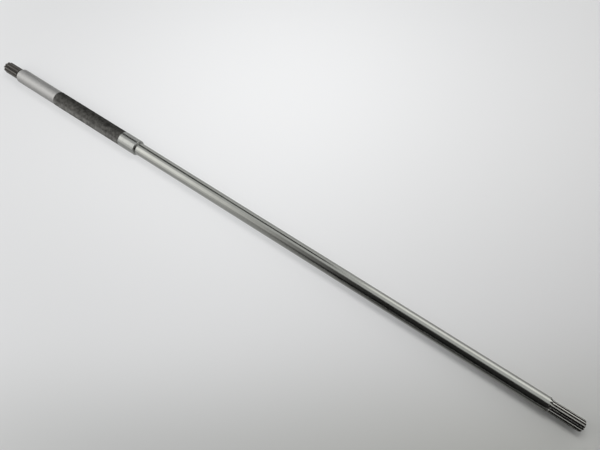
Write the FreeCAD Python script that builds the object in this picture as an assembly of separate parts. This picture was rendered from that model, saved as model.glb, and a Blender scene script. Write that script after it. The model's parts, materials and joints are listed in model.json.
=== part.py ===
import FreeCAD, Part
import math
import os

# Splined outboard drive shaft, turned and ground from one bar.
# Frame: the axis is X, x = 0 is the gear-end face, +X runs to the engine end, +Z is up.
# All lengths are in millimetres and all angles in degrees.

# Lengths of the stretches, in order from the gear end
gear_spline_length = 24.7
gear_neck_length = 3.0
journal_length = 69.4
blank_length = 113.2
bearing_seat_length = 25.6
relief_length = 1.6
main_length = 545.4
step_cone_length = 1.6
engine_spline_length = 35.0

# Diameters
gear_neck_diameter = 11.2
journal_diameter = 19.2
blank_diameter = 19.6
bearing_seat_diameter = 20.0
relief_depth = 0.4
main_diameter = 16.0

# Chamfers, each 45 degrees
gear_end_chamfer = 1.1
journal_chamfer = 0.8
seat_chamfer = 0.6
engine_end_chamfer = 1.0

# Steps in diameter are eased by a short cone of this length
ground_step_length = 0.4

# Splines: number of teeth, outside, pitch and root diameters, and the flank's pressure angle
gear_spline = {
    "teeth": 10,
    "outside_diameter": 15.0,
    "pitch_diameter": 12.5,
    "root_diameter": 11.5,
    "tooth_thickness": 2.65,
    "pressure_angle": 20.0,
    "first_tooth_angle": 2.0,
}
engine_spline = {
    "teeth": 14,
    "outside_diameter": 13.8,
    "pitch_diameter": 12.88,
    "root_diameter": 11.5,
    "tooth_thickness": 1.42,
    "pressure_angle": 30.0,
    "first_tooth_angle": 5.0,
}

# The cutter rolls out of each engine tooth gap on this radius, into the cone and the main diameter
run_out_radius = 12.0
run_out_start = 3.0

# Centre holes that the shaft is turned and ground between, alike at both ends
centre_mouth_diameter = 5.3
centre_pilot_diameter = 2.5
centre_pilot_depth = 2.9
centre_angle = 60.0
drill_point_angle = 118.0

# Clearance by which a cutting solid stands past the metal
overcut = 1.0

# Places along the axis, worked out from the lengths
journal_start = gear_spline_length + gear_neck_length
blank_start = journal_start + journal_length
seat_start = blank_start + blank_length
relief_start = seat_start + bearing_seat_length
main_start = relief_start + relief_length
cone_start = main_start + main_length
engine_spline_start = cone_start + step_cone_length
overall_length = engine_spline_start + engine_spline_length

x_axis = FreeCAD.Vector(1, 0, 0)
origin = FreeCAD.Vector(0, 0, 0)


def revolved(outline):
    """Solid of revolution about the X axis from a list of (x, radius) points."""
    points = [FreeCAD.Vector(x, 0, radius) for x, radius in outline]
    points.append(points[0])
    return Part.Face(Part.makePolygon(points)).revolve(origin, x_axis, 360)


def turned_blank():
    """The whole shaft as it leaves the lathe and the grinder, before its teeth are cut."""
    gear_radius = gear_spline["outside_diameter"] / 2
    engine_radius = engine_spline["outside_diameter"] / 2
    neck_radius = gear_neck_diameter / 2
    journal_radius = journal_diameter / 2
    blank_radius = blank_diameter / 2
    seat_radius = bearing_seat_diameter / 2
    main_radius = main_diameter / 2
    relief_radius = main_radius - relief_depth
    outline = [
        (0, 0),
        (0, gear_radius - gear_end_chamfer),
        (gear_end_chamfer, gear_radius),
        (gear_spline_length, gear_radius),
        (gear_spline_length, neck_radius),
        (journal_start, neck_radius),
        (journal_start, journal_radius - journal_chamfer),
        (journal_start + journal_chamfer, journal_radius),
        (blank_start, journal_radius),
        (blank_start + ground_step_length, blank_radius),
        (seat_start, blank_radius),
        (seat_start + ground_step_length, seat_radius),
        (relief_start - seat_chamfer, seat_radius),
        (relief_start, seat_radius - seat_chamfer),
        (relief_start, relief_radius),
        (main_start - relief_depth, relief_radius),
        (main_start, main_radius),
        (cone_start, main_radius),
        (engine_spline_start, engine_radius),
        (overall_length - engine_end_chamfer, engine_radius),
        (overall_length, engine_radius - engine_end_chamfer),
        (overall_length, 0),
    ]
    return revolved(outline)


def involute(angle):
    """Involute function of an angle in radians."""
    return math.tan(angle) - angle


def flank_point(spline, radius):
    """Point (y, z) of the tooth gap's left flank at a radius, for a gap centred on +Z."""
    pitch_radius = spline["pitch_diameter"] / 2
    pressure = math.radians(spline["pressure_angle"])
    base_radius = pitch_radius * math.cos(pressure)
    here = math.acos(min(1.0, base_radius / radius))
    half_tooth = spline["tooth_thickness"] / spline["pitch_diameter"] + involute(pressure) - involute(here)
    half_gap = math.pi / spline["teeth"] - half_tooth
    return radius * math.sin(half_gap), radius * math.cos(half_gap)


def gap_face(spline, x, reach):
    """Section of one tooth gap at x: a root arc, two involute flanks and straight sides up to reach."""
    root_radius = spline["root_diameter"] / 2
    outside_radius = spline["outside_diameter"] / 2
    middle_radius = (root_radius + outside_radius) / 2
    root, middle, tip = (flank_point(spline, r) for r in (root_radius, middle_radius, outside_radius))

    def place(point, side):
        return FreeCAD.Vector(x, side * point[0], point[1])

    floor_middle = FreeCAD.Vector(x, 0, root_radius)
    edges = [
        Part.Arc(place(root, -1), floor_middle, place(root, 1)).toShape(),
        Part.Arc(place(root, 1), place(middle, 1), place(tip, 1)).toShape(),
        Part.makeLine(place(tip, 1), FreeCAD.Vector(x, tip[0], reach)),
        Part.makeLine(FreeCAD.Vector(x, tip[0], reach), FreeCAD.Vector(x, -tip[0], reach)),
        Part.makeLine(FreeCAD.Vector(x, -tip[0], reach), place(tip, -1)),
        Part.Arc(place(tip, -1), place(middle, -1), place(root, -1)).toShape(),
    ]
    return Part.Face(Part.Wire(edges))


def gear_gap():
    """Straight cutter for one gap of the gear-end spline, open at the end face and at the neck."""
    reach = gear_spline["outside_diameter"] / 2 + overcut
    length = gear_spline_length + overcut + gear_neck_length / 2
    return gap_face(gear_spline, -overcut, reach).extrude(x_axis * length)


def engine_gap():
    """Cutter for one gap of the engine-end spline, which rises on the run-out radius."""
    reach = main_diameter / 2 + overcut
    rise_start = engine_spline_start + run_out_start
    root_radius = engine_spline["root_diameter"] / 2
    section = gap_face(engine_spline, rise_start, reach)
    straight = section.extrude(x_axis * (overall_length + overcut - rise_start))
    roll_centre = FreeCAD.Vector(rise_start, 0, root_radius + run_out_radius)
    rise = reach - root_radius
    roll_angle = math.degrees(math.acos((run_out_radius - rise) / run_out_radius))
    run_out = section.revolve(roll_centre, FreeCAD.Vector(0, 1, 0), roll_angle)
    return straight.fuse(run_out)


def gap_ring(cutter, spline):
    """All the gaps of one spline, as copies of one cutter turned about the axis."""
    pitch = 360 / spline["teeth"]
    gaps = []
    for number in range(spline["teeth"]):
        gap = cutter.copy()
        gap.rotate(origin, x_axis, spline["first_tooth_angle"] + (number + 0.5) * pitch)
        gaps.append(gap)
    return gaps


def centre_hole():
    """Centre-drill shape with its mouth at x = 0, pointing along +X."""
    mouth_radius = centre_mouth_diameter / 2
    pilot_radius = centre_pilot_diameter / 2
    slope = math.tan(math.radians(centre_angle / 2))
    cone_depth = (mouth_radius - pilot_radius) / slope
    pilot_end = cone_depth + centre_pilot_depth
    point_end = pilot_end + pilot_radius / math.tan(math.radians(drill_point_angle / 2))
    outline = [
        (-overcut, 0),
        (-overcut, mouth_radius + overcut * slope),
        (cone_depth, pilot_radius),
        (pilot_end, pilot_radius),
        (point_end, 0),
    ]
    return revolved(outline)


def propeller_shaft():
    """The finished shaft: turned blank, less the tooth gaps and the two centre holes."""
    gear_centre = centre_hole()
    engine_centre = centre_hole()
    engine_centre.rotate(origin, FreeCAD.Vector(0, 0, 1), 180)
    engine_centre.translate(FreeCAD.Vector(overall_length, 0, 0))
    cutters = gap_ring(gear_gap(), gear_spline) + gap_ring(engine_gap(), engine_spline)
    return turned_blank().cut(cutters + [gear_centre, engine_centre])


os.makedirs("parts", exist_ok=True)
shaft = propeller_shaft()
if len(shaft.Solids) == 1:
    shaft = shaft.Solids[0]
shaft.exportStep("parts/propeller_shaft.step")
print("overall length", round(overall_length, 2), "mm, volume", round(shaft.Volume), "mm3")
print("solids", len(shaft.Solids), "faces", len(shaft.Faces), "valid", shaft.isValid())
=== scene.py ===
import bpy
import bmesh
import json
import math
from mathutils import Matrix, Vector


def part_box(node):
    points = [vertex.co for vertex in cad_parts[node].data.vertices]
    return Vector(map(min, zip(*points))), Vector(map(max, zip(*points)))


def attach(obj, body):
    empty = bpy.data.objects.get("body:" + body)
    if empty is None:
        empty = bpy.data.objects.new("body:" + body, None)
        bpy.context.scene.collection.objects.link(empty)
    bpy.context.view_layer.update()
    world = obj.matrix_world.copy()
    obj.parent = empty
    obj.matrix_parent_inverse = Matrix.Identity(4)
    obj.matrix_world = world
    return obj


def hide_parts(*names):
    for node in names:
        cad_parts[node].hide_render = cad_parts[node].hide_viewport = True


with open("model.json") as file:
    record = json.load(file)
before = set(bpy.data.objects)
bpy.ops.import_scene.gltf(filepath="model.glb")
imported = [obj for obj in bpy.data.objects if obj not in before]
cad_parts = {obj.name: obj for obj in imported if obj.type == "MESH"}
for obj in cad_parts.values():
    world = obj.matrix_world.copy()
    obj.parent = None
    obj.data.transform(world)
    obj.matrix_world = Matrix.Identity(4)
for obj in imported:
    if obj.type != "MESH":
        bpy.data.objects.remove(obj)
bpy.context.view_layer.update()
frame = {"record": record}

millimetre = 0.001
nodeName = "propeller_shaft"
shaftLow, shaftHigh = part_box(nodeName)
shaftLength = (shaftHigh[0] - shaftLow[0]) / millimetre


def mountSpan(name):
    # start, end and radius of a ground stretch in millimetres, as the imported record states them
    mount = next(each for each in frame["record"]["mounts"] if each["name"] == name)
    middle = mount["pos_m"][0] / millimetre
    half = mount["dims"]["length_mm"] / 2
    return middle - half, middle + half, mount["dims"]["r_mm"]


journalStart, journalEnd, journalRadius = mountSpan("gear_journal")
seatStart, seatEnd, seatRadius = mountSpan("bearing_seat")
mainStart, mainEnd, mainRadius = mountSpan("main_shaft")

# turned form between the ground stretches, in millimetres
turned = {
    "neckRadius": 5.6,
    "neckLength": 3.0,
    "journalChamfer": 0.8,
    "blankRadius": 9.8,
    "stepLength": 0.4,
    "seatChamfer": 0.6,
    "reliefRadius": 7.6,
    "reliefFlank": 0.4,
    "coneLength": 1.6,
    "edgeBreak": 0.12,
}

# splines, in millimetres and degrees; steps count the faces along half a tooth
gearSpline = {
    "teeth": 10,
    "outside": 15.0,
    "pitch": 12.5,
    "root": 11.5,
    "thickness": 2.65,
    "pressure": 20.0,
    "firstTooth": 2.0,
    "chamfer": 1.1,
    "edgeBreak": 0.12,
    "fillet": 0.3,
    "landSteps": 3,
    "flankSteps": 6,
    "floorSteps": 3,
}
engineSpline = {
    "teeth": 14,
    "outside": 13.8,
    "pitch": 12.88,
    "root": 11.5,
    "thickness": 1.42,
    "pressure": 30.0,
    "firstTooth": 5.0,
    "chamfer": 1.0,
    "edgeBreak": 0.04,
    "fillet": 0.2,
    "landSteps": 2,
    "flankSteps": 4,
    "floorSteps": 2,
    "runOutStart": 3.0,
    "runOutRadius": 12.0,
    "runOutSteps": 24,
    "runOutMargin": 0.6,
}

# centre holes, in millimetres and degrees
centreHole = {
    "mouth": 5.3,
    "pilot": 2.5,
    "pilotDepth": 2.9,
    "angle": 60.0,
    "point": 118.0,
    "tipRadius": 0.02,
}

# columns round the shaft: a whole number for each tooth of both splines
columns = 280

# rings that the shaft is lofted through, in millimetres and degrees
rings = {
    "plainSpacing": 9.0,  # about this far apart on a plain stretch
    "pastCorner": 1.0,  # from a shoulder's corner to the next ring
    "insideTeeth": 1.2,  # from the foot of an end chamfer to the next ring of its face
    "alongTeeth": 4,  # bands along the full depth of a spline
    "alongChamfer": 8,  # bands along its end chamfer
    "breakShare": 0.3,  # the most that a broken edge takes of the line beside it
    "mergeWithin": 0.05,  # closes the tips of the centre holes
    "sharpFrom": 25.0,  # edges that bend more than this stay crisp
}

# bake map: the shaft is laid out as strips side by side, with slack at their ends in millimetres
bakeStrips = {"count": 4, "slack": 8.0, "margin": 0.006}

# finish that the cutter leaves in the tooth gaps, for each finish that it cuts into,
# and the depth below the turned surface from which it shows, in millimetres; it is darker partly
# for the cut surface, partly as painted shade in the gaps
gapFinishAndShade = {
    "blackened": ("blackenedGapShaded", 0.04),
    "polished": ("milledGapShaded", 0.04),
    "lands": ("milledGapShaded", 0.50),
}


def evenly(start, end, steps):
    # places from start to end, both included
    return [start + (end - start) * step / steps for step in range(steps + 1)]


def involute(angle):
    return math.tan(angle) - angle


def halfTooth(spline):
    # (angle, radius) from the middle of a tooth to the middle of the gap, radius in millimetres
    pressure = math.radians(spline["pressure"])
    baseRadius = spline["pitch"] / 2 * math.cos(pressure)
    outer, root = spline["outside"] / 2, spline["root"] / 2

    def flankAngle(radius):
        here = math.acos(min(1.0, baseRadius / radius))
        return spline["thickness"] / spline["pitch"] + involute(pressure) - involute(here)

    landEnd = flankAngle(outer) - spline["edgeBreak"] / outer
    footEnd = flankAngle(root) + spline["fillet"] / root
    gapMiddle = math.pi / spline["teeth"]
    flankTop, flankFoot = outer - spline["edgeBreak"], root + spline["fillet"]
    flankRadii = evenly(flankTop, flankFoot, spline["flankSteps"])
    land = [(angle, outer) for angle in evenly(0, landEnd, spline["landSteps"])]
    flank = [(flankAngle(radius), radius) for radius in flankRadii]
    floor = [(angle, root) for angle in evenly(footEnd, gapMiddle, spline["floorSteps"])]
    return land + flank + floor


def plainRing(radius):
    return [(2 * math.pi * column / columns, radius) for column in range(columns)]


def splineRing(spline, limit, rise=0.0):
    # (angle, radius) of every column, cut down to the turned radius limit;
    # rise is how far the cutter has lifted out of the gap
    half = halfTooth(spline)
    gapMiddle = math.pi / spline["teeth"]

    def lift(angle, radius):
        # the point as the lifted cutter makes it: across and up from the middle of the gap
        across = radius * math.sin(gapMiddle - angle)
        up = radius * math.cos(gapMiddle - angle) + rise
        return across, up

    lifted = []
    for angle, radius in half:
        across, up = lift(angle, radius)
        lifted.append((gapMiddle - math.atan2(across, up), min(limit, math.hypot(across, up))))
    if limit > spline["outside"] / 2 or rise > 0:
        # the gap's wall stands straight above the tooth's tip, up to the turned surface
        landSteps = spline["landSteps"]
        across, up = lift(*half[landSteps + 1])
        if math.hypot(across, up) < limit:
            corner = gapMiddle - math.asin(across / limit)
        else:
            corner = gapMiddle - math.atan2(across, up)
        corner -= spline["edgeBreak"] / limit
        lifted[:landSteps + 1] = [(angle, limit) for angle in evenly(0, corner, landSteps)]
    perTooth = columns // spline["teeth"]
    ring = []
    for column in range(columns):
        tooth, place = divmod(column, perTooth)
        if place <= perTooth // 2:
            angle, radius = lifted[place]
        else:
            angle, radius = lifted[perTooth - place]
            angle = 2 * gapMiddle - angle
        ring.append((tooth * 2 * gapMiddle + angle, radius))
    return ring


def softened(outline):
    # each corner of an (x, radius) outline becomes a narrow chamfer
    soft = [outline[0]]
    for before, corner, after in zip(outline, outline[1:], outline[2:]):
        corner = Vector(corner)
        for end in (Vector(before), Vector(after)):
            way = end - corner
            width = min(turned["edgeBreak"], way.length * rings["breakShare"])
            soft.append(tuple(corner + way.normalized() * width))
    soft.append(outline[-1])
    return soft


def radiusAt(outline, x):
    # turned radius at x, read along an (x, radius) outline
    for (startX, startRadius), (endX, endRadius) in zip(outline, outline[1:]):
        if x <= endX:
            share = max(0.0, x - startX) / (endX - startX)
            return startRadius + (endRadius - startRadius) * share
    return outline[-1][1]


def holeOutline(faceRadius):
    # (depth, radius) of a centre hole, from the drill's tip out to a ring on the end face
    mouth, pilot = centreHole["mouth"] / 2, centreHole["pilot"] / 2
    coneDepth = (mouth - pilot) / math.tan(math.radians(centreHole["angle"] / 2))
    pilotEnd = coneDepth + centreHole["pilotDepth"]
    pointEnd = pilotEnd + pilot / math.tan(math.radians(centreHole["point"] / 2))
    drill = [(pointEnd, centreHole["tipRadius"]), (pilotEnd, pilot), (coneDepth, pilot)]
    return drill + [(0, mouth), (0, faceRadius)]


# a station is (x, finish of the band before it, ring)

def plain(finish, points):
    return [(x, finish, plainRing(radius)) for x, radius in points]


def plainStretch(finish, start, end, radius):
    count = max(1, round((end - start) / rings["plainSpacing"]))
    return plain(finish, [(x, radius) for x in evenly(start, end, count)])


def gearEndStations():
    # centre hole, end face, chamfered teeth and neck, up to the journal's chamfer
    outer = gearSpline["outside"] / 2
    chamfer = gearSpline["chamfer"]
    face = outer - chamfer
    stations = plain("blackened", softened(holeOutline(face - rings["insideTeeth"])))
    for x in evenly(0, chamfer, rings["alongChamfer"]):
        stations.append((x, "blackened", splineRing(gearSpline, face + x)))
    neckEnd = journalStart - turned["journalChamfer"]
    splineEnd = neckEnd - turned["neckLength"]
    for x in evenly(chamfer, splineEnd, rings["alongTeeth"])[1:]:
        stations.append((x, "blackened", splineRing(gearSpline, outer)))
    neck = [
        (splineEnd, turned["neckRadius"]),
        (neckEnd, turned["neckRadius"]),
        (neckEnd, journalRadius - turned["journalChamfer"]),
        (journalStart, journalRadius),
    ]
    return stations + plain("blackened", softened(neck)[:-1])


def middleStations():
    # journal, dark blank, bearing seat and relief groove, up to the start of the main stretch
    blankStart, blankEnd = journalEnd + turned["stepLength"], seatStart - turned["stepLength"]
    shoulder = seatEnd + turned["seatChamfer"]
    shoulderOutline = [
        (seatEnd - rings["pastCorner"], seatRadius),
        (seatEnd, seatRadius),
        (shoulder, seatRadius - turned["seatChamfer"]),
        (shoulder, turned["reliefRadius"]),
        (mainStart - turned["reliefFlank"], turned["reliefRadius"]),
        (mainStart, mainRadius),
        (mainStart + rings["pastCorner"], mainRadius),
    ]
    stations = plainStretch("satin", journalStart, journalEnd, journalRadius)
    stations += plainStretch("dark", blankStart, blankEnd, turned["blankRadius"])
    stations += plainStretch("seat", seatStart, seatEnd, seatRadius)[:-1]
    stations += plain("seat", softened(shoulderOutline))
    return stations


def engineEndStations():
    # main stretch, and the spline whose cutter leaves each gap through the cone and into it
    outer = engineSpline["outside"] / 2
    splineStart = mainEnd + turned["coneLength"]
    riseStart = splineStart + engineSpline["runOutStart"]
    cutter = engineSpline["runOutRadius"]
    fullRise = mainRadius - engineSpline["root"] / 2
    runOutLength = math.sqrt(cutter ** 2 - (cutter - fullRise) ** 2)
    runOutEnd = riseStart - runOutLength - engineSpline["runOutMargin"]
    mainFrom = mainStart + rings["pastCorner"]
    stations = plainStretch("polished", mainFrom, runOutEnd, mainRadius)[1:-1]
    cone = softened([
        (runOutEnd, mainRadius),
        (mainEnd, mainRadius),
        (splineStart, outer),
        (riseStart, outer),
    ])
    places = evenly(runOutEnd, riseStart, engineSpline["runOutSteps"])[:-1]
    for x in sorted(places + [corner for corner, radius in cone[1:]]):
        rise = cutter - math.sqrt(cutter ** 2 - (riseStart - x) ** 2)
        finish = "polished" if x <= mainEnd else "lands"
        stations.append((x, finish, splineRing(engineSpline, radiusAt(cone, x), rise)))
    chamfer = engineSpline["chamfer"]
    chamferStart = shaftLength - chamfer
    for x in evenly(riseStart, chamferStart, rings["alongTeeth"])[1:]:
        stations.append((x, "lands", splineRing(engineSpline, outer)))
    for cut in evenly(0, chamfer, rings["alongChamfer"])[1:]:
        stations.append((chamferStart + cut, "lands", splineRing(engineSpline, outer - cut)))
    hole = reversed(holeOutline(outer - chamfer - rings["insideTeeth"]))
    hole = [(shaftLength - depth, radius) for depth, radius in hole]
    return stations + plain("faced", softened(hole))


def loftShaft(stations, finishes):
    # one ring is extruded from station to station, and each new ring is set to its own outline
    shaftMesh = bmesh.new()
    column = shaftMesh.verts.layers.int.new("column")
    depth = shaftMesh.verts.layers.float.new("depth")
    along = shaftMesh.verts.layers.float.new("along")

    def setRing(ring, x, outline, travelled):
        # the first tooth's angle of one end passes over into that of the other
        share = x / shaftLength
        turn = gearSpline["firstTooth"] * (1 - share) + engineSpline["firstTooth"] * share
        outer = max(radius for angle, radius in outline)
        for vert in ring:
            angle, radius = outline[vert[column]]
            angle += math.radians(turn)
            vert.co = Vector((x, -radius * math.sin(angle), radius * math.cos(angle))) * millimetre
            vert[along] = travelled
            vert[depth] = outer - radius

    def meanRadius(outline):
        return sum(radius for angle, radius in outline) / columns

    x, finish, outline = stations[0]
    first = bmesh.ops.create_circle(shaftMesh, segments=columns, radius=millimetre)["verts"]
    for number, vert in enumerate(first):
        vert[column] = number
    travelled = 0.0
    setRing(first, x, outline, travelled)
    edges = list(shaftMesh.edges)
    bands = []
    beforeX, beforeMean = x, meanRadius(outline)
    for x, finish, outline in stations[1:]:
        mean = meanRadius(outline)
        travelled += math.hypot(x - beforeX, mean - beforeMean)
        beforeX, beforeMean = x, mean
        made = bmesh.ops.extrude_edge_only(shaftMesh, edges=edges)["geom"]
        ring = [part for part in made if isinstance(part, bmesh.types.BMVert)]
        faces = [part for part in made if isinstance(part, bmesh.types.BMFace)]
        setRing(ring, x, outline, travelled)
        newRing = set(ring)
        edges = [edge for edge in shaftMesh.edges if newRing.issuperset(edge.verts)]
        below, belowFrom = gapFinishAndShade.get(finish, (finish, 0.0))
        for face in faces:
            cut = sum(vert[depth] for vert in face.verts) / len(face.verts) > belowFrom
            face.material_index = finishes.index(below if cut else finish)
            face.smooth = True
        bands.append(faces)
    layStrips(shaftMesh, bands, travelled)
    # the first and last rings, at the tips of the centre holes, close up
    bmesh.ops.remove_doubles(shaftMesh, verts=first + ring, dist=rings["mergeWithin"] * millimetre)
    bmesh.ops.recalc_face_normals(shaftMesh, faces=shaftMesh.faces)
    return shaftMesh


def layStrips(shaftMesh, bands, travelled):
    # bake map: one strip for each share of the length, the columns across it
    column = shaftMesh.verts.layers.int["column"]
    along = shaftMesh.verts.layers.float["along"]
    strips = shaftMesh.loops.layers.uv.new("OFBake")
    count, slack, margin = bakeStrips["count"], bakeStrips["slack"], bakeStrips["margin"]
    stripLength = travelled / count

    def inside(share):
        return margin + (1 - 2 * margin) * share

    for faces in bands:
        corners = faces[0].verts
        middle = sum(vert[along] for vert in corners) / len(corners)
        strip = min(count - 1, int(middle / stripLength))
        for face in faces:
            numbers = [vert[column] for vert in face.verts]
            wraps = max(numbers) - min(numbers) > columns / 2
            for loop in face.loops:
                around = loop.vert[column]
                if wraps and around < columns / 2:
                    around += columns
                travel = loop.vert[along] - strip * stripLength
                run = (travel + slack) / (stripLength + 2 * slack)
                loop[strips].uv = (inside(run), (strip + inside(around / columns)) / count)


def addNode(tree, kind, **values):
    # adds a node and sets its plain inputs by name
    node = tree.nodes.new(kind)
    for name, value in values.items():
        node.inputs[name].default_value = value
    return node


def feed(tree, socket, value):
    # a plain number, or another node's output
    if isinstance(value, (int, float)):
        socket.default_value = value
    else:
        tree.links.new(value, socket)


def fade(tree, source, run, ends):
    # smooth change from one level to another as the source crosses the run
    change = tree.nodes.new("ShaderNodeMapRange")
    change.interpolation_type = "SMOOTHSTEP"
    change.inputs["From Min"].default_value, change.inputs["From Max"].default_value = run
    feed(tree, change.inputs["To Min"], ends[0])
    feed(tree, change.inputs["To Max"], ends[1])
    tree.links.new(source, change.inputs["Value"])
    return change.outputs["Result"]


def combine(tree, operation, first, second):
    node = tree.nodes.new("ShaderNodeMath")
    node.operation = operation
    feed(tree, node.inputs[0], first)
    feed(tree, node.inputs[1], second)
    return node.outputs["Value"]


def measure(tree, operation, place, vector):
    # one number from a place and a fixed vector
    node = tree.nodes.new("ShaderNodeVectorMath")
    node.operation = operation
    node.inputs[1].default_value = vector
    tree.links.new(place, node.inputs[0])
    return node.outputs["Value"]


def objectPlace(tree):
    # the object's own coordinates, whole and split into X, Y and Z
    spot = tree.nodes.new("ShaderNodeTexCoord").outputs["Object"]
    split = tree.nodes.new("ShaderNodeSeparateXYZ")
    tree.links.new(spot, split.inputs["Vector"])
    return spot, split.outputs


def startGroup(name, inputs):
    # shared pattern: plain number inputs, and one output named Value
    group = bpy.data.node_groups.new(name, "ShaderNodeTree")
    number = "NodeSocketFloat"
    for label, value in inputs.items():
        socket = group.interface.new_socket(name=label, in_out="INPUT", socket_type=number)
        socket.default_value = value
    group.interface.new_socket(name="Value", in_out="OUTPUT", socket_type=number)
    return group, group.nodes.new("NodeGroupInput"), group.nodes.new("NodeGroupOutput")


def spreadNoise(group, noise, run, end):
    # the part of the noise that lies in the run, spread from 0 to 1
    spread = group.nodes.new("ShaderNodeMapRange")
    spread.inputs["From Min"].default_value, spread.inputs["From Max"].default_value = run
    group.links.new(noise.outputs["Fac"], spread.inputs["Value"])
    group.links.new(spread.outputs["Result"], end.inputs["Value"])


# patterns of the finishes: detail and roughness of the noise, and the run of it that is used
grindNoise = {"detail": 3.0, "rough": 0.6, "run": (0.30, 0.70)}
mottleNoise = {"detail": 4.0, "rough": 0.55, "run": (0.32, 0.68)}


def makeGrindLines():
    # marks that run round the shaft, as a wheel or a turning tool leaves them
    group, start, end = startGroup("grindLines", {"Along": 1600.0, "Around": 40.0})
    place = group.nodes.new("ShaderNodeTexCoord")
    stretch = group.nodes.new("ShaderNodeCombineXYZ")
    for label, axis in (("Along", "X"), ("Around", "Y"), ("Around", "Z")):
        group.links.new(start.outputs[label], stretch.inputs[axis])
    scaled = group.nodes.new("ShaderNodeVectorMath")
    scaled.operation = "MULTIPLY"
    group.links.new(place.outputs["Object"], scaled.inputs[0])
    group.links.new(stretch.outputs["Vector"], scaled.inputs[1])
    noise = addNode(group, "ShaderNodeTexNoise", Scale=1.0, Detail=grindNoise["detail"],
                    Roughness=grindNoise["rough"])
    group.links.new(scaled.outputs["Vector"], noise.inputs["Vector"])
    spreadNoise(group, noise, grindNoise["run"], end)
    return group


def makeMottle():
    # soft cloudy patches
    group, start, end = startGroup("mottle", {"Scale": 200.0})
    place = group.nodes.new("ShaderNodeTexCoord")
    noise = addNode(group, "ShaderNodeTexNoise", Detail=mottleNoise["detail"],
                    Roughness=mottleNoise["rough"])
    group.links.new(place.outputs["Object"], noise.inputs["Vector"])
    group.links.new(start.outputs["Scale"], noise.inputs["Scale"])
    spreadNoise(group, noise, mottleNoise["run"], end)
    return group


# finishes of the one bar: colours are linear, scales are per metre, depth and side are in metres
finishes = {
    "polished": {
        "dark": (0.335, 0.338, 0.312), "light": (0.400, 0.404, 0.376), "metal": 1.0,
        "along": 900.0, "around": 12.0, "rough": (0.13, 0.20), "cloud": 60.0, "depth": 0.000002,
    },
    "satin": {
        "dark": (0.37, 0.365, 0.355), "light": (0.45, 0.445, 0.43), "metal": 1.0,
        "along": 2600.0, "around": 60.0, "rough": (0.48, 0.58), "cloud": 220.0, "depth": 0.000006,
    },
    "seat": {
        "dark": (0.305, 0.308, 0.293), "light": (0.38, 0.383, 0.362), "metal": 1.0,
        "along": 2200.0, "around": 40.0, "rough": (0.20, 0.28), "cloud": 200.0, "depth": 0.000004,
    },
    "dark": {
        "dark": (0.012, 0.012, 0.011), "light": (0.110, 0.107, 0.099), "metal": 0.6,
        "along": 1400.0, "around": 260.0, "rough": (0.30, 0.42), "cloud": 260.0, "depth": 0.000012,
        "specular": 0.06, "grazing": 0.10,
        # painted light: the side colour lightens the dark skin, in patches, on the side towards -Y
        "paintedSideColour": (0.310, 0.305, 0.288), "side": (-0.0054, -0.0094),
        "patch": (0.25, 0.75), "patchShare": (0.45, 1.0),
    },
    "blackened": {
        "dark": (0.065, 0.061, 0.056), "light": (0.17, 0.160, 0.146), "metal": 0.85,
        "along": 700.0, "around": 500.0, "rough": (0.26, 0.38), "cloud": 500.0, "depth": 0.000005,
    },
    # painted shade: the gap finishes are darker partly for the cut surface, partly for shade in the
    # narrow gaps
    "blackenedGapShaded": {
        "dark": (0.030, 0.027, 0.024), "light": (0.085, 0.078, 0.068), "metal": 0.8,
        "along": 500.0, "around": 900.0, "rough": (0.26, 0.38), "cloud": 500.0, "depth": 0.000004,
    },
    "lands": {
        "dark": (0.36, 0.357, 0.330), "light": (0.44, 0.436, 0.405), "metal": 1.0,
        "along": 900.0, "around": 300.0, "rough": (0.17, 0.24), "cloud": 300.0, "depth": 0.000001,
    },
    "milledGapShaded": {
        "dark": (0.075, 0.073, 0.066), "light": (0.15, 0.146, 0.132), "metal": 1.0,
        "along": 300.0, "around": 1800.0, "rough": (0.09, 0.16), "cloud": 400.0, "depth": 0.000001,
    },
    "faced": {
        "dark": (0.30, 0.297, 0.28), "light": (0.42, 0.416, 0.395), "metal": 1.0,
        "along": 600.0, "around": 600.0, "rough": (0.22, 0.34), "cloud": 400.0, "depth": 0.000003,
    },
}


def mixColours(tree, first, second, factor):
    # either colour may be plain numbers or another node's output
    mix = tree.nodes.new("ShaderNodeMix")
    mix.data_type = "RGBA"
    for label, colour in (("A", first), ("B", second)):
        if isinstance(colour, tuple):
            mix.inputs[label].default_value = (*colour, 1)
        else:
            tree.links.new(colour, mix.inputs[label])
    tree.links.new(factor, mix.inputs["Factor"])
    return mix.outputs["Result"]


def paintedLitSide(tree, spec, shader, colour, pattern):
    # painted light: the dark skin is coloured lighter, in patches, along the side that lies towards
    # -Y
    spot, axes = objectPlace(tree)
    paintedLight = fade(tree, axes["Y"], spec["side"], (0, 1))
    lightPatches = fade(tree, pattern, spec["patch"], spec["patchShare"])
    # and it shines less than bare metal where it is seen edge-on
    grazing = spec["grazing"]
    shader.inputs["Specular IOR Level"].default_value = spec["specular"]
    shader.inputs["Specular Tint"].default_value = (grazing, grazing, grazing, 1)
    return mixColours(tree, colour, spec["paintedSideColour"], combine(tree, "MULTIPLY", paintedLight, lightPatches))


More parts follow.
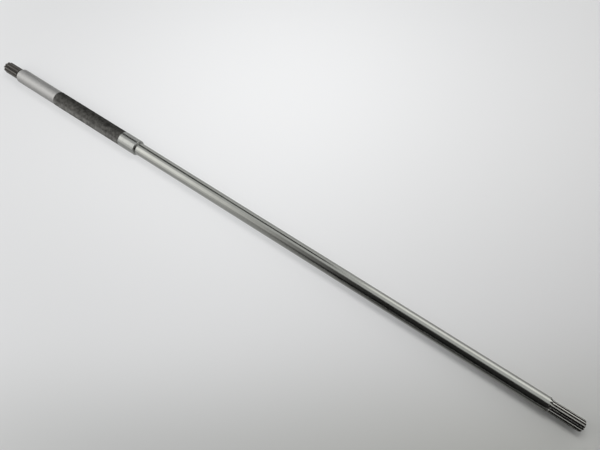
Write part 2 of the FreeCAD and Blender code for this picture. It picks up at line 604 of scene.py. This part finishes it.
def makeFinish(name, spec, grindLines, mottle):
    material = bpy.data.materials.new(name)
    material.use_nodes = True
    tree = material.node_tree
    shader = tree.nodes["Principled BSDF"]
    shader.inputs["Metallic"].default_value = spec["metal"]
    lines = tree.nodes.new("ShaderNodeGroup")
    lines.node_tree = grindLines
    lines.inputs["Along"].default_value = spec["along"]
    lines.inputs["Around"].default_value = spec["around"]
    cloud = tree.nodes.new("ShaderNodeGroup")
    cloud.node_tree = mottle
    cloud.inputs["Scale"].default_value = spec["cloud"]
    both = addNode(tree, "ShaderNodeMix", Factor=0.5)  # half grinding lines, half clouding
    tree.links.new(lines.outputs["Value"], both.inputs["A"])
    tree.links.new(cloud.outputs["Value"], both.inputs["B"])
    pattern = both.outputs["Result"]
    colour = mixColours(tree, spec["dark"], spec["light"], pattern)
    # painted light on the side of the dark skin towards -Y
    if "paintedSideColour" in spec:
        colour = paintedLitSide(tree, spec, shader, colour, pattern)
    tree.links.new(colour, shader.inputs["Base Color"])
    rough = tree.nodes.new("ShaderNodeMapRange")
    rough.inputs["To Min"].default_value, rough.inputs["To Max"].default_value = spec["rough"]
    tree.links.new(pattern, rough.inputs["Value"])
    tree.links.new(rough.outputs["Result"], shader.inputs["Roughness"])
    bump = addNode(tree, "ShaderNodeBump", Strength=1.0, Distance=spec["depth"])
    tree.links.new(lines.outputs["Value"], bump.inputs["Height"])
    tree.links.new(bump.outputs["Normal"], shader.inputs["Normal"])
    return material


def buildShaft():
    names = list(finishes)
    stations = gearEndStations() + middleStations() + engineEndStations()
    shaftMesh = loftShaft(stations, names)
    data = bpy.data.meshes.new("splinedShaft")
    shaftMesh.to_mesh(data)
    shaftMesh.free()
    data.set_sharp_from_angle(angle=math.radians(rings["sharpFrom"]))
    shaft = bpy.data.objects.new("splinedShaft", data)
    bpy.context.collection.objects.link(shaft)
    grindLines, mottle = makeGrindLines(), makeMottle()
    for name in names:
        data.materials.append(makeFinish(name, finishes[name], grindLines, mottle))
    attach(shaft, "root")
    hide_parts(nodeName)
    print("shaft", len(data.polygons), "faces")


# studio: places and sizes in metres, colours linear
studio = {
    "worldColour": (0.98, 0.99, 1.0),
    "worldStrength": 0.28,
    "reflectedStrength": 0.84,
    "cameraStrength": 0.85,
}

# pale floor: its shade grows towards the near side and the engine end, and its glow towards
# the gear end and its pale far part are only what the camera sees of it, no light on the shaft
floorLook = {
    "size": 8.0,
    "rough": 0.9,
    "specular": 0.2,
    "colour": (0.84, 0.84, 0.84),
    "shadeColour": (0.64, 0.645, 0.60),
    "shadeWay": (0.565, -0.825, 0.0),
    "shadeRun": (0.331, 0.559),
    "glowCentre": (0.323, 0.172, 0.0),
    "glowReach": (0.0, 0.426),
    "glow": (0.946, 0.738),
    "glowAlong": (0.38, 0.88),
    "glowInShade": 0.66,
    "glowShare": 0.60,
    "farCentre": (0.41, 0.20, 0.0),
    "farReach": (0.40, 0.78),
}

# the floor as the steel mirrors it, with painted shade right under the near side of the main
# stretch that shows only in the steel's reflections
mirroredLook = {
    "glowCentre": (0.30, 0.05, 0.0),
    "glowReach": (0.05, 0.80),
    "glow": (0.61, 0.20),
    "glowShare": 0.85,
    "shade": 0.88,
    "shadeAlong": (0.29, 0.63),
    "shadeAcross": (-0.006, -0.030),
}

# sheets along the near side, as edges (y, z): their glow fades to dark along the shaft, and
# fade gives the x where it starts and ends
nearSheets = {
    "nearSky": {
        "edges": ((-0.02, 0.60), (-0.56, 0.41)),
        "bright": 1.80, "dark": 0.035, "fade": (-0.18, 0.59),
    },
    "nearWall": {
        "edges": ((-0.56, 0.41), (-0.72, 0.03)),
        "bright": 1.12, "dark": 0.012, "fade": (-0.14, 0.50),
    },
}
sheetRun = {"left": -1.8, "right": 2.4}

# dark batten on the far side, seen only in the steel's reflections, which draws the thin dark line
# along the shaft: (place, width)
batten = {
    "places": (
        ((0.46, 0.45, 0.47), 0.25),
        ((0.10, 0.45, 0.47), 0.25),
        ((-0.14, 0.46, 0.45), 0.33),
        ((-0.35, 0.50, 0.40), 0.26),
        ((-0.62, 0.64, 0.06), 0.16),
    ),
    "glow": 0.01,
}

lamps = {
    "overhead": {
        "place": (0.44, 0.28, 0.64), "target": (0.44, 0.27, 0.0), "size": (0.5, 0.3),
        "power": 2.5, "colour": (1.0, 1.0, 1.0), "glossy": False,
    },
    "warmSide": {
        "place": (0.90, 0.87, 0.50), "target": (0.79, 0.0, 0.0), "size": (0.72, 0.60),
        "power": 1.08, "colour": (1.0, 0.985, 0.96), "glossy": True,
    },
}


def plainLight(name, colour, strength):
    material = bpy.data.materials.new(name)
    material.use_nodes = True
    tree = material.node_tree
    tree.nodes.clear()
    light = addNode(tree, "ShaderNodeEmission", Color=(*colour, 1), Strength=strength)
    out = tree.nodes.new("ShaderNodeOutputMaterial")
    tree.links.new(light.outputs["Emission"], out.inputs["Surface"])
    return material


def fadingLight(name, spec):
    # glow that fades along the shaft's length
    material = plainLight(name, (1, 1, 1), 1.0)
    tree = material.node_tree
    spot, axes = objectPlace(tree)
    strength = fade(tree, axes["X"], spec["fade"], (spec["bright"], spec["dark"]))
    tree.links.new(strength, tree.nodes["Emission"].inputs["Strength"])
    return material


def stageSheet(name, quads, material):
    sheet = bmesh.new()
    for corners in quads:
        sheet.faces.new([sheet.verts.new(corner) for corner in corners])
    data = bpy.data.meshes.new(name)
    sheet.to_mesh(data)
    sheet.free()
    data.materials.append(material)
    piece = bpy.data.objects.new(name, data)
    bpy.context.collection.objects.link(piece)
    return piece


def seenFloor(tree, spot, shade, towardsGear):
    # what the camera sees of the glow, and of the far floor that runs out into the background
    distance = measure(tree, "DISTANCE", spot, floorLook["glowCentre"])
    level = fade(tree, distance, floorLook["glowReach"], floorLook["glow"])
    dimmed = fade(tree, shade, (0, 1), (1, floorLook["glowInShade"]))
    level = combine(tree, "MULTIPLY", level, dimmed)
    farDistance = measure(tree, "DISTANCE", spot, floorLook["farCentre"])
    far = fade(tree, farDistance, floorLook["farReach"], (0, 1))
    level = fade(tree, far, (0, 1), (level, studio["cameraStrength"]))
    share = combine(tree, "MULTIPLY", towardsGear, floorLook["glowShare"])
    return level, combine(tree, "MAXIMUM", share, far)


def mirroredFloor(tree, spot, axes, towardsGear):
    # what the steel mirrors of the floor, with its painted shade under the near side
    distance = measure(tree, "DISTANCE", spot, mirroredLook["glowCentre"])
    level = fade(tree, distance, mirroredLook["glowReach"], mirroredLook["glow"])
    along = fade(tree, axes["X"], mirroredLook["shadeAlong"], (0, 1))
    across = fade(tree, axes["Y"], mirroredLook["shadeAcross"], (0, mirroredLook["shade"]))
    shade = combine(tree, "MULTIPLY", along, across)
    level = combine(tree, "MULTIPLY", level, fade(tree, shade, (0, 1), (1, 0)))
    share = combine(tree, "MULTIPLY", towardsGear, mirroredLook["glowShare"])
    return level, combine(tree, "MAXIMUM", share, shade)


def makeFloorMaterial():
    material = bpy.data.materials.new("paleFloor")
    material.use_nodes = True
    tree = material.node_tree
    shader = tree.nodes["Principled BSDF"]
    shader.inputs["Roughness"].default_value = floorLook["rough"]
    shader.inputs["Specular IOR Level"].default_value = floorLook["specular"]
    spot, axes = objectPlace(tree)
    slope = measure(tree, "DOT_PRODUCT", spot, floorLook["shadeWay"])
    shade = fade(tree, slope, floorLook["shadeRun"], (0, 1))
    tone = mixColours(tree, floorLook["colour"], floorLook["shadeColour"], shade)
    tree.links.new(tone, shader.inputs["Base Color"])
    rays = tree.nodes.new("ShaderNodeLightPath")
    seen, mirrored = rays.outputs["Is Camera Ray"], rays.outputs["Is Glossy Ray"]
    towardsGear = fade(tree, axes["X"], floorLook["glowAlong"], (1, 0))
    seenLevel, seenShare = seenFloor(tree, spot, shade, towardsGear)
    mirroredLevel, mirroredShare = mirroredFloor(tree, spot, axes, towardsGear)
    level = fade(tree, mirrored, (0, 1), (seenLevel, mirroredLevel))
    seenShare = combine(tree, "MULTIPLY", seenShare, seen)
    mirroredShare = combine(tree, "MULTIPLY", mirroredShare, mirrored)
    glow = addNode(tree, "ShaderNodeEmission", Color=(*studio["worldColour"], 1))
    tree.links.new(level, glow.inputs["Strength"])
    both = tree.nodes.new("ShaderNodeMixShader")
    tree.links.new(combine(tree, "ADD", seenShare, mirroredShare), both.inputs["Fac"])
    tree.links.new(shader.outputs["BSDF"], both.inputs[1])
    tree.links.new(glow.outputs["Emission"], both.inputs[2])
    tree.links.new(both.outputs["Shader"], tree.nodes["Material Output"].inputs["Surface"])
    return material


def buildFloor():
    # the shaft lies on its bearing seat and on the far end of its main stretch
    seatMiddle = (seatStart + seatEnd) / 2
    tilt = (seatRadius - mainRadius) / (mainEnd - seatMiddle)
    half = floorLook["size"] / 2
    middle = shaftLength * millimetre / 2
    corners = []
    for sideX, sideY in ((-1, -1), (1, -1), (1, 1), (-1, 1)):
        x = middle + sideX * half
        height = -seatRadius * millimetre + tilt * (x - seatMiddle * millimetre)
        corners.append((x, sideY * half, height))
    stageSheet("floor", [corners], makeFloorMaterial())


def buildSheets():
    left, right = sheetRun["left"], sheetRun["right"]
    for name, spec in nearSheets.items():
        (yTop, zTop), (yFoot, zFoot) = spec["edges"]
        top = [(left, yTop, zTop), (right, yTop, zTop)]
        foot = [(right, yFoot, zFoot), (left, yFoot, zFoot)]
        sheet = stageSheet(name, [top + foot], fadingLight(name, spec))
        sheet.visible_camera = False


def buildBatten():
    # each piece of the strip faces the shaft
    quads = []
    for (start, startWidth), (end, endWidth) in zip(batten["places"], batten["places"][1:]):
        start, end = Vector(start), Vector(end)
        across = (end - start).cross(Vector((0, start.y, start.z))).normalized()
        atStart, atEnd = across * startWidth / 2, across * endWidth / 2
        quads.append([start + atStart, end + atEnd, end - atEnd, start - atStart])
    strip = stageSheet("batten", quads, plainLight("batten", (1, 1, 1), batten["glow"]))
    strip.visible_camera = False
    strip.visible_diffuse = False
    strip.visible_shadow = False


def buildWorld():
    world = bpy.data.worlds.new("studio")
    bpy.context.scene.world = world
    world.use_nodes = True
    tree = world.node_tree
    back = tree.nodes["Background"]
    back.inputs["Color"].default_value = (*studio["worldColour"], 1)
    rays = tree.nodes.new("ShaderNodeLightPath")
    strength = None
    for ray, level in (("Is Glossy Ray", "reflectedStrength"), ("Is Camera Ray", "cameraStrength")):
        pick = tree.nodes.new("ShaderNodeMapRange")
        pick.inputs["To Min"].default_value = studio["worldStrength"]
        pick.inputs["To Max"].default_value = studio[level]
        tree.links.new(rays.outputs[ray], pick.inputs["Value"])
        if strength:
            tree.links.new(strength, pick.inputs["To Min"])
        strength = pick.outputs["Result"]
    tree.links.new(strength, back.inputs["Strength"])


def buildLamps():
    for name, spec in lamps.items():
        lamp = bpy.data.lights.new(name, "AREA")
        lamp.shape = "RECTANGLE"
        lamp.size, lamp.size_y = spec["size"]
        lamp.energy = spec["power"]
        lamp.color = spec["colour"]
        holder = bpy.data.objects.new(name, lamp)
        holder.location = spec["place"]
        aim = Vector(spec["target"]) - Vector(spec["place"])
        holder.rotation_euler = aim.to_track_quat("-Z", "Y").to_euler()
        holder.visible_camera = False
        holder.visible_glossy = spec["glossy"]
        bpy.context.collection.objects.link(holder)


# camera that took the photograph: place and clip in metres, angles in degrees,
# lens and sensor in millimetres
viewpoint = {
    "place": (0.57636, -0.14308, 0.49131),
    "downward": 67.65,
    "heading": 33.49,
    "lens": 27.0,
    "sensor": 36.0,
    "clip": (0.01, 50.0),
}


def buildCamera():
    lens = bpy.data.cameras.new("camera")
    lens.sensor_fit = "HORIZONTAL"
    lens.sensor_width = viewpoint["sensor"]
    lens.lens = viewpoint["lens"]
    lens.clip_start, lens.clip_end = viewpoint["clip"]
    camera = bpy.data.objects.new("camera", lens)
    camera.location = viewpoint["place"]
    pitch, heading = 90 - viewpoint["downward"], viewpoint["heading"]
    camera.rotation_euler = (math.radians(pitch), 0, math.radians(heading))
    bpy.context.collection.objects.link(camera)
    bpy.context.scene.camera = camera


buildShaft()
buildFloor()
buildSheets()
buildBatten()
print("floor, sheets and batten ready")
buildWorld()
buildLamps()
print("lights ready")
buildCamera()
bpy.context.scene.view_settings.view_transform = "Standard"
print("camera ready")
